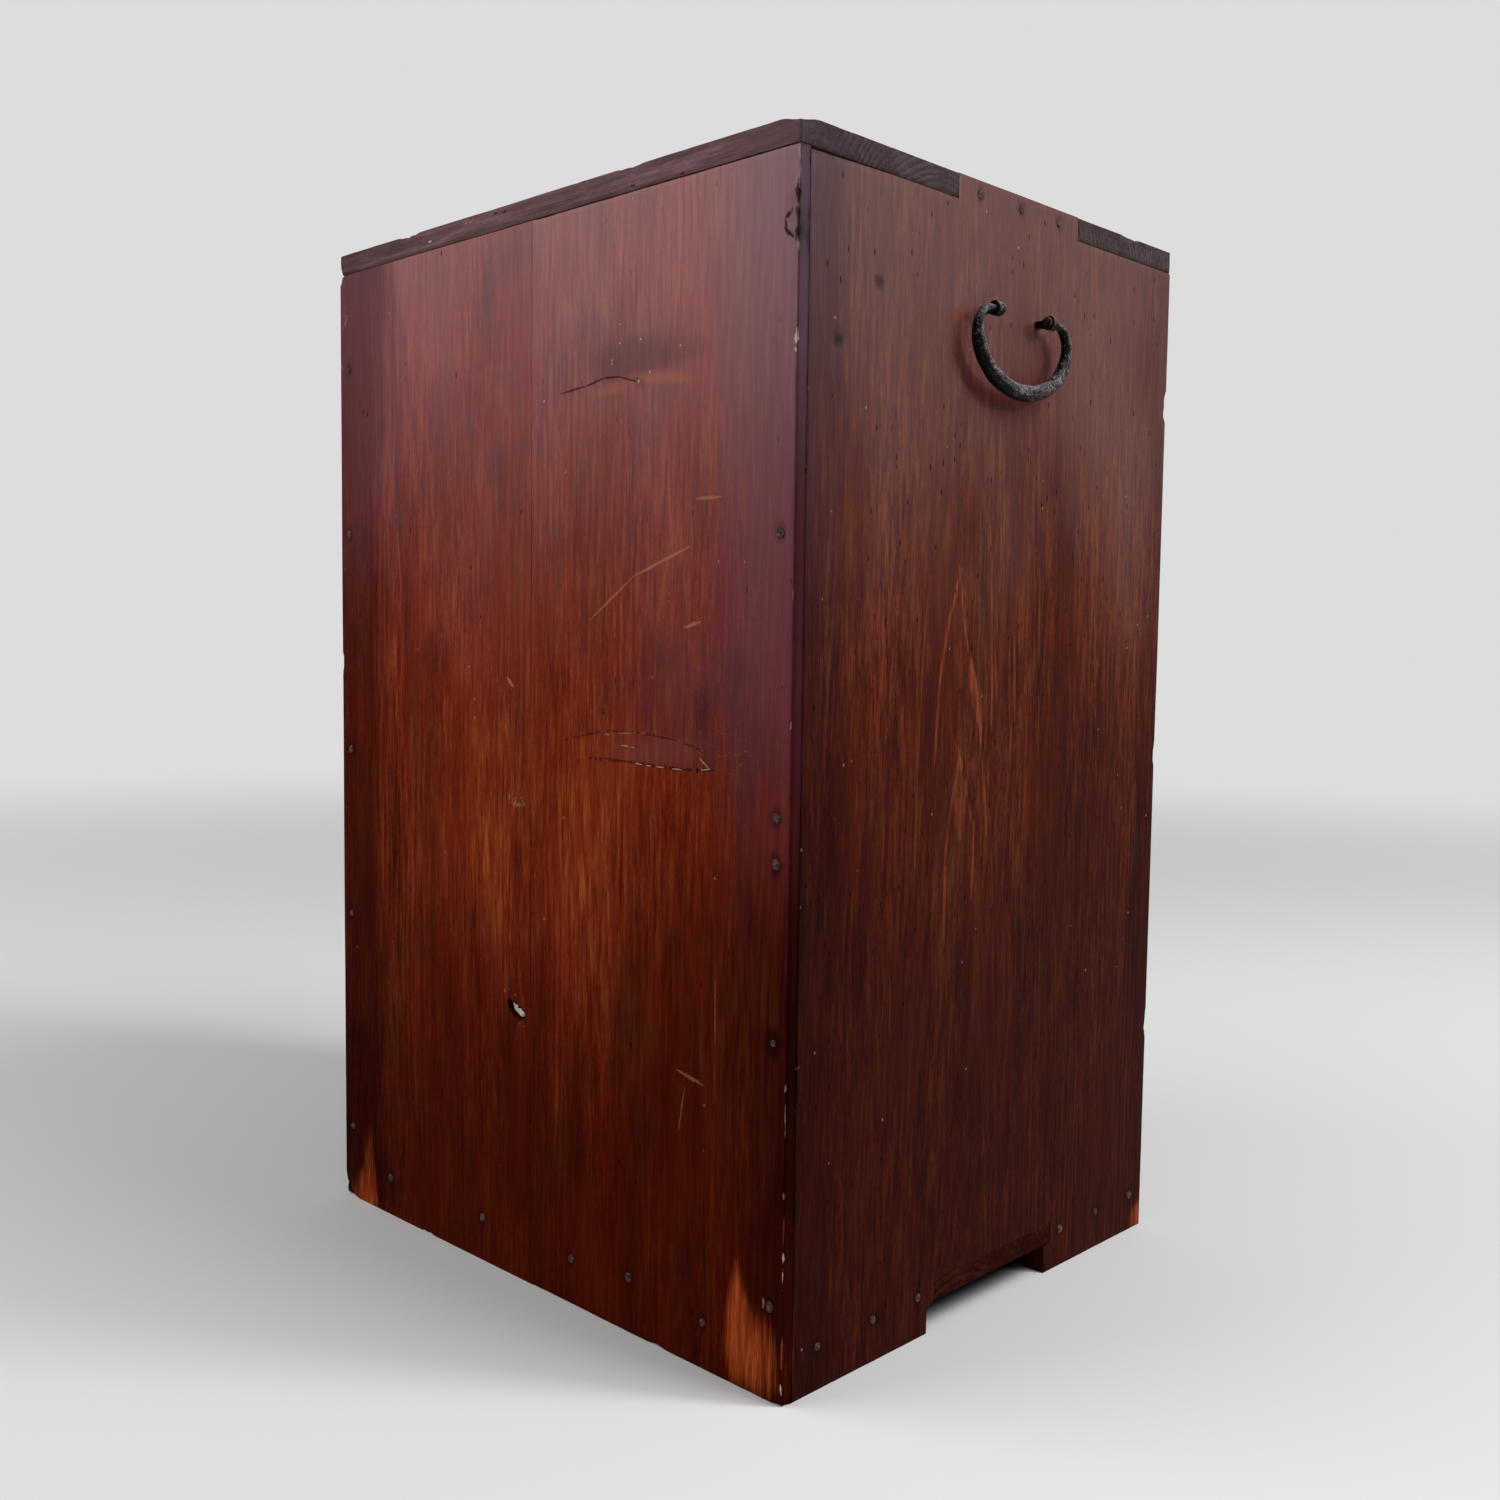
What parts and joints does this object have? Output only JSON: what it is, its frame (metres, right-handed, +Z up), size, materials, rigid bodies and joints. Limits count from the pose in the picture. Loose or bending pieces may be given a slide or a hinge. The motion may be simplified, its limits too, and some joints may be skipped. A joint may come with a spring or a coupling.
{
  "type": "tea chest",
  "caption": "Upright carrying chest of thin stained cedar boards with box-jointed corners, a lift-out front panel and an iron bail handle on each side.",
  "frame": {"origin": "on the floor under the middle of the case", "axes": "+Z up, the lift-out front faces -Y, the back faces +Y, the bails are on the -X and +X sides"},
  "size_m": [0.4208, 0.333, 0.606],
  "materials": {
    "stained_cedar": "red-brown stain, thin satin lacquer, worn at the edges",
    "dark_cedar": "weathered grey-brown, nearly matt",
    "bare_cedar": "planed, unstained, aged",
    "forged_iron": "hammered, dark oxide with rust",
    "pasted_paper": "aged paper, matt"
  },
  "bodies": {
    "case": {"left_side_board": "stained_cedar", "right_side_board": "stained_cedar", "left_back_board": "stained_cedar", "right_back_board": "stained_cedar", "top_board": "dark_cedar", "bottom_board": "stained_cedar", "knot_hole_patch": "pasted_paper", "upper_front_rail": "stained_cedar", "upper_rear_rail": "stained_cedar", "sill_front_strip": "stained_cedar", "sill_rear_strip": "stained_cedar", "shelf_board": "bare_cedar", "left_shelf_bearer": "bare_cedar", "right_shelf_bearer": "bare_cedar", "left_rear_eye": "forged_iron", "left_front_eye": "forged_iron", "right_rear_eye": "forged_iron", "right_front_eye": "forged_iron"},
    "front_panel": {"left_panel_board": "stained_cedar", "right_panel_board": "stained_cedar", "lower_panel_batten": "bare_cedar", "upper_panel_batten": "bare_cedar", "panel_pull": "stained_cedar"},
    "left_handle": {"left_bail": "forged_iron"},
    "right_handle": {"right_bail": "forged_iron"}
  },
  "joints": [
    {"name": "front_panel_lift", "type": "slide", "parent": "case", "child": "front_panel", "axis": [0, 0, 1], "range_m": [0, 0.008]},
    {"name": "left_bail_swing", "type": "hinge", "parent": "case", "child": "left_handle", "pos_m": [-0.206, 0, 0.5407], "axis": [0, 1, 0], "range_deg": [-5, 185]},
    {"name": "right_bail_swing", "type": "hinge", "parent": "case", "child": "right_handle", "pos_m": [0.206, 0, 0.5407], "axis": [0, -1, 0], "range_deg": [-5, 185]}
  ]
}
